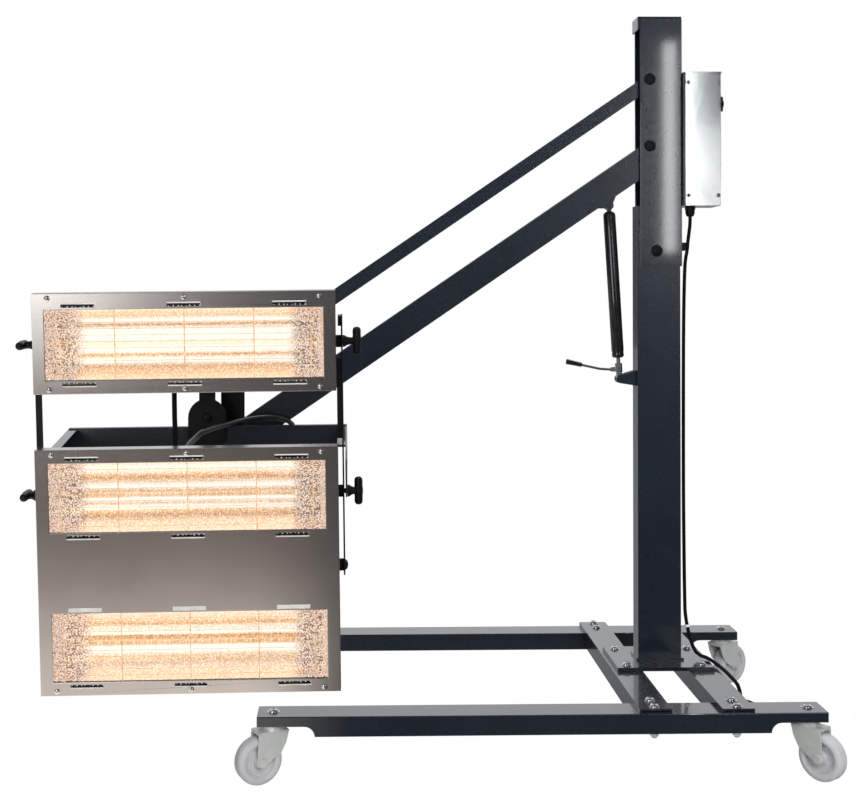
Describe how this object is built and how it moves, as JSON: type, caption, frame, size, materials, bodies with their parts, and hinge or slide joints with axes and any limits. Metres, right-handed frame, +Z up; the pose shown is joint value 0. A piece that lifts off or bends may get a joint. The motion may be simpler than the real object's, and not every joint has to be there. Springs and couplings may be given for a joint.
{
  "type": "infrared paint curing lamp",
  "caption": "Mobile infrared curing lamp: caster base, mast with control box, parallelogram arm on a gas strut, tilting head of lamp cassettes.",
  "frame": {"origin": "floor level, under the middle of the lamp's overall box", "axes": "+X along the base rails from the head towards the control box, +Y away from the side the lamps face, +Z up"},
  "size_m": [1.6224, 0.8218, 1.5743],
  "materials": {
    "paint": "glossy dark blue-grey paint",
    "stainless": "satin stainless sheet",
    "housing": "satin stainless sheet",
    "black_steel": "satin black paint",
    "black_plastic": "matt black plastic",
    "rubber": "matt black sheath",
    "pale_plastic": "pale nylon",
    "zinc": "zinc-plated steel",
    "tyre": "grey elastomer",
    "gold": "gold hammered reflector",
    "quartz": "quartz infrared tube"
  },
  "bodies": {
    "base": {"rail_front": "paint", "rail_rear": "paint", "cross_beam_left": "paint", "cross_beam_right": "paint", "mast": "paint", "mast_channel": "paint", "mast_cap": "black_plastic", "channel_bolt": "zinc", "lower_pivot_bolt": "zinc", "upper_pivot_bolt": "zinc", "control_box_plate": "paint", "control_box_cover": "stainless", "cable_gland": "black_plastic", "cable_clip": "black_plastic", "cable_tie": "pale_plastic", "mains_cable": "rubber", "mains_cable_coil": "rubber", "mains_plug": "black_plastic"},
    "lower_arm": {"lower_arm": "paint"},
    "upper_arm": {"upper_arm": "paint"},
    "knuckle": {"knuckle": "paint", "pivot_plate": "paint", "head_lead": "rubber"},
    "strut_cylinder": {"strut_cylinder": "black_plastic"},
    "strut_rod": {"strut_rod": "zinc"},
    "release_lever": {"release_lever": "zinc", "lever_grip": "black_plastic"},
    "yoke": {"yoke": "black_steel"},
    "head": {"lower_panel": "stainless", "lower_housing": "housing", "grille_1": "zinc", "grille_2": "zinc", "reflector_1": "gold", "reflector_2": "gold", "lamp_1": "quartz", "lamp_2": "quartz", "strap_left": "black_steel", "strap_right": "black_steel", "upper_lead": "rubber"},
    "upper_cassette": {"upper_panel": "stainless", "upper_housing": "housing", "grille_3": "zinc", "reflector_3": "gold", "lamp_3": "quartz"},
    "tilt_knob_left": {"tilt_knob_left": "black_plastic"},
    "tilt_knob_right": {"tilt_knob_right": "black_plastic"},
    "cassette_knob_left": {"cassette_knob_left": "black_plastic"},
    "cassette_knob_right": {"cassette_knob_right": "black_plastic"},
    "timer_knob": {"timer_knob": "black_plastic"},
    "lamp_switch_1": {"lamp_switch_1": "black_plastic"},
    "lamp_switch_2": {"lamp_switch_2": "black_plastic"},
    "lamp_switch_3": {"lamp_switch_3": "black_plastic"},
    "caster_fork_front_left": {"caster_fork_front_left": "zinc"},
    "caster_wheel_front_left": {"caster_wheel_front_left": "tyre"},
    "caster_fork_front_right": {"caster_fork_front_right": "zinc"},
    "caster_wheel_front_right": {"caster_wheel_front_right": "tyre"},
    "caster_fork_rear_left": {"caster_fork_rear_left": "zinc"},
    "caster_wheel_rear_left": {"caster_wheel_rear_left": "tyre"},
    "caster_fork_rear_right": {"caster_fork_rear_right": "zinc"},
    "caster_wheel_rear_right": {"caster_wheel_rear_right": "tyre"}
  },
  "joints": [
    {"name": "arm_raise", "type": "hinge", "parent": "base", "child": "lower_arm", "pos_m": [0.49055, 0.05032, 1.289], "axis": [0, 1, 0], "range_deg": [0, 60]},
    {"name": "upper_arm_raise", "type": "hinge", "parent": "base", "child": "upper_arm", "pos_m": [0.49055, 0.05032, 1.436], "axis": [0, 1, 0], "range_deg": [0, 60]},
    {"name": "knuckle_level", "type": "hinge", "parent": "lower_arm", "child": "knuckle", "pos_m": [-0.43055, 0.05032, 0.66067], "axis": [0, 1, 0], "range_deg": [-60, 0]},
    {"name": "strut_swing", "type": "hinge", "parent": "lower_arm", "child": "strut_cylinder", "pos_m": [0.40455, 0.05032, 1.158], "axis": [0, 1, 0], "range_deg": [-66.7, 0]},
    {"name": "strut_stroke", "type": "slide", "parent": "strut_cylinder", "child": "strut_rod", "axis": [0.0596, 0, -0.9982], "range_m": [0, 0.1477]},
    {"name": "release_lever_pull", "type": "hinge", "parent": "strut_rod", "child": "release_lever", "pos_m": [0.41126, 0.05032, 0.79407], "axis": [0, 1, 0], "range_deg": [-12, 0], "stiffness_Nm_per_rad": 1.5},
    {"name": "head_roll", "type": "hinge", "parent": "knuckle", "child": "yoke", "pos_m": [-0.47845, 0.05032, 0.69797], "axis": [0, 1, 0], "range_deg": [-75, 90], "deforming": ["head_lead"]},
    {"name": "head_tilt", "type": "hinge", "parent": "yoke", "child": "head", "pos_m": [-0.47719, -0.29868, 0.57701], "axis": [0.9999, 0, 0.0105], "range_deg": [-35, 85], "deforming": ["head_lead"]},
    {"name": "cassette_tilt", "type": "hinge", "parent": "head", "child": "upper_cassette", "pos_m": [-0.48025, -0.31785, 0.86936], "axis": [0.9999, 0, 0.0105], "range_deg": [-45, 45], "deforming": ["upper_lead"]},
    {"name": "tilt_knob_left_turn", "type": "hinge", "parent": "head", "child": "tilt_knob_left", "pos_m": [-0.77747, -0.29868, 0.57386], "axis": [0.9999, 0, 0.0105], "range_deg": [-90, 90]},
    {"name": "tilt_knob_right_turn", "type": "hinge", "parent": "head", "child": "tilt_knob_right", "pos_m": [-0.1769, -0.29868, 0.58015], "axis": [0.9999, 0, 0.0105], "range_deg": [-90, 90]},
    {"name": "cassette_knob_left_turn", "type": "hinge", "parent": "head", "child": "cassette_knob_left", "pos_m": [-0.77503, -0.31785, 0.86625], "axis": [0.9999, 0, 0.0105], "range_deg": [-90, 90]},
    {"name": "cassette_knob_right_turn", "type": "hinge", "parent": "head", "child": "cassette_knob_right", "pos_m": [-0.18546, -0.31785, 0.87242], "axis": [0.9999, 0, 0.0105], "range_deg": [-90, 90]},
    {"name": "timer_turn", "type": "hinge", "parent": "base", "child": "timer_knob", "pos_m": [0.64485, 0.05032, 1.385], "axis": [1, 0, 0], "range_deg": [0, 300]},
    {"name": "lamp_switch_1_rock", "type": "hinge", "parent": "base", "child": "lamp_switch_1", "pos_m": [0.64885, 0.05032, 1.32], "axis": [0, 1, 0], "range_deg": [-8, 8]},
    {"name": "lamp_switch_2_rock", "type": "hinge", "parent": "base", "child": "lamp_switch_2", "pos_m": [0.64885, 0.05032, 1.278], "axis": [0, 1, 0], "range_deg": [-8, 8]},
    {"name": "lamp_switch_3_rock", "type": "hinge", "parent": "base", "child": "lamp_switch_3", "pos_m": [0.64885, 0.05032, 1.236], "axis": [0, 1, 0], "range_deg": [-8, 8]},
    {"name": "caster_front_left_swivel", "type": "hinge", "parent": "base", "child": "caster_fork_front_left", "pos_m": [-0.32395, -0.25468, 0.117], "axis": [0, 0, 1], "continuous": true},
    {"name": "caster_front_left_roll", "type": "hinge", "parent": "caster_fork_front_left", "child": "caster_wheel_front_left", "pos_m": [-0.35336, -0.26966, 0.0467], "axis": [0.454, -0.891, 0], "continuous": true},
    {"name": "caster_front_right_swivel", "type": "hinge", "parent": "base", "child": "caster_fork_front_right", "pos_m": [0.74005, -0.25468, 0.117], "axis": [0, 0, 1], "continuous": true},
    {"name": "caster_front_right_roll", "type": "hinge", "parent": "caster_fork_front_right", "child": "caster_wheel_front_right", "pos_m": [0.76178, -0.27951, 0.0467], "axis": [0.7524, 0.6587, 0], "continuous": true},
    {"name": "caster_rear_left_swivel", "type": "hinge", "parent": "base", "child": "caster_fork_rear_left", "pos_m": [-0.32395, 0.35532, 0.117], "axis": [0, 0, 1], "continuous": true},
    {"name": "caster_rear_left_roll", "type": "hinge", "parent": "caster_fork_rear_left", "child": "caster_wheel_rear_left", "pos_m": [-0.35309, 0.37081, 0.0467], "axis": [-0.4695, -0.8829, 0], "continuous": true},
    {"name": "caster_rear_right_swivel", "type": "hinge", "parent": "base", "child": "caster_fork_rear_right", "pos_m": [0.74005, 0.35532, 0.117], "axis": [0, 0, 1], "continuous": true},
    {"name": "caster_rear_right_roll", "type": "hinge", "parent": "caster_fork_rear_right", "child": "caster_wheel_rear_right", "pos_m": [0.76708, 0.37424, 0.0467], "axis": [-0.5736, 0.8192, 0], "continuous": true}
  ],
  "couplings": [
    {"joint": "upper_arm_raise", "follows": "arm_raise", "ratio": 1},
    {"joint": "knuckle_level", "follows": "arm_raise", "ratio": -1},
    {"joint": "strut_swing", "follows": "arm_raise", "ratio": -1.1112},
    {"joint": "strut_stroke", "follows": "arm_raise", "m_per_rad": 0.1409}
  ]
}
